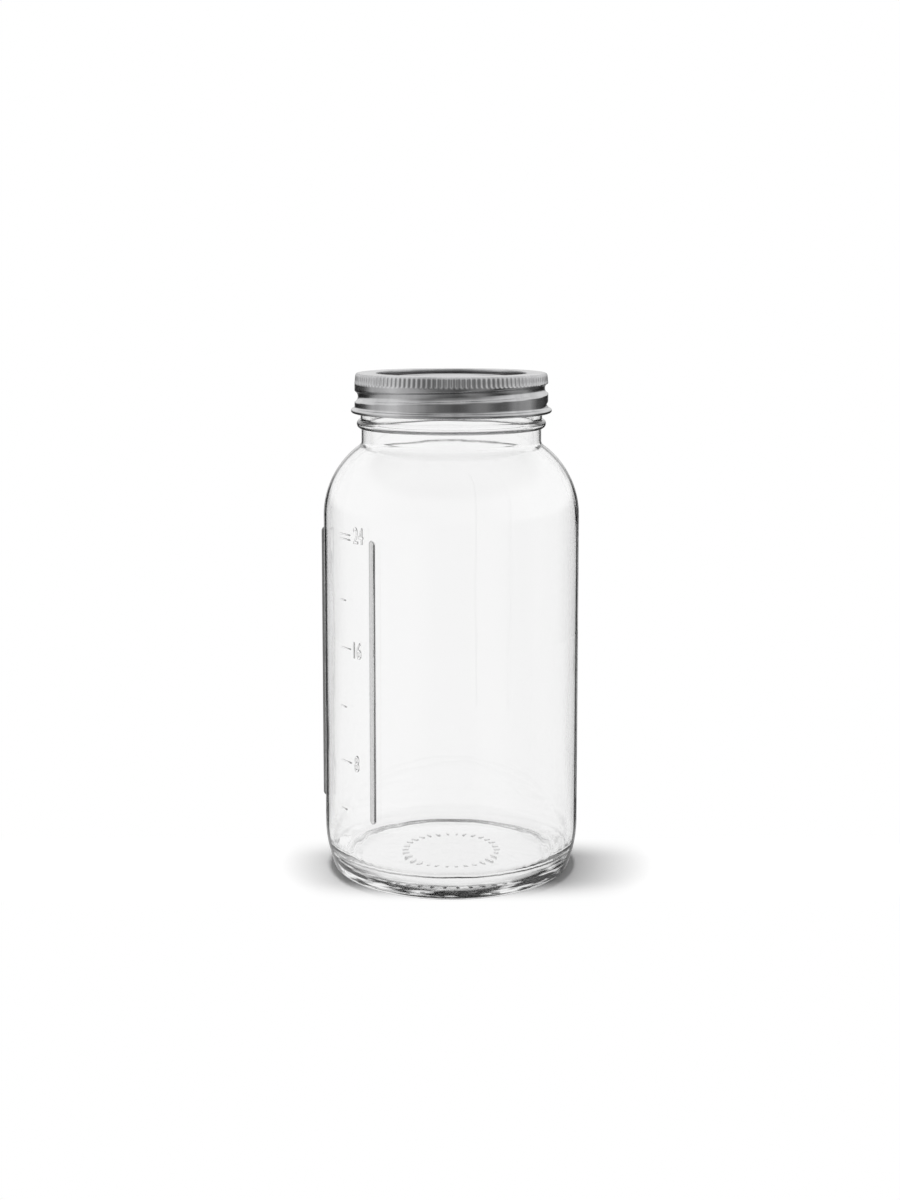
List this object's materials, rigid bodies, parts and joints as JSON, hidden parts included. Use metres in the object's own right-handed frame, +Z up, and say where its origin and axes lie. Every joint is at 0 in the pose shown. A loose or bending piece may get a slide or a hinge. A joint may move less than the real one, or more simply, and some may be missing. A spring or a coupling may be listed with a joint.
{
  "type": "canning jar",
  "caption": "Clear round-shouldered glass canning jar, closed with a flat sealed lid disc and a knurled screw band whose helical thread lifts the closure off the mouth.",
  "frame": {"origin": "centre of the ring that the jar stands on, at the surface it stands on", "axes": "+Z up along the jar's axis, -Y to the front, +X to the right seen from the front"},
  "size_m": [0.0944, 0.0934, 0.1832],
  "materials": {
    "glass": "clear moulded soda-lime glass, smooth",
    "tinplate": "stamped tinplate, satin",
    "compound": "flowed-in sealing compound, matt",
    "band_steel": "rolled tinplate, semi-bright"
  },
  "bodies": {
    "jar": {"glass_jar": "glass"},
    "lid": {"lid_disc": "tinplate", "sealing_ring": "compound"},
    "band": {"screw_band": "band_steel"}
  },
  "joints": [
    {"name": "lid_lift", "type": "slide", "parent": "jar", "child": "lid", "axis": [0, 0, 1], "range_m": [0, 0.01905]},
    {"name": "band_turn", "type": "hinge", "parent": "lid", "child": "band", "pos_m": [0, 0, 0.1755], "axis": [0, 0, 1], "range_deg": [0, 1080]}
  ],
  "couplings": [
    {"joint": "lid_lift", "follows": "band_turn", "m_per_rad": 0.0010106}
  ]
}
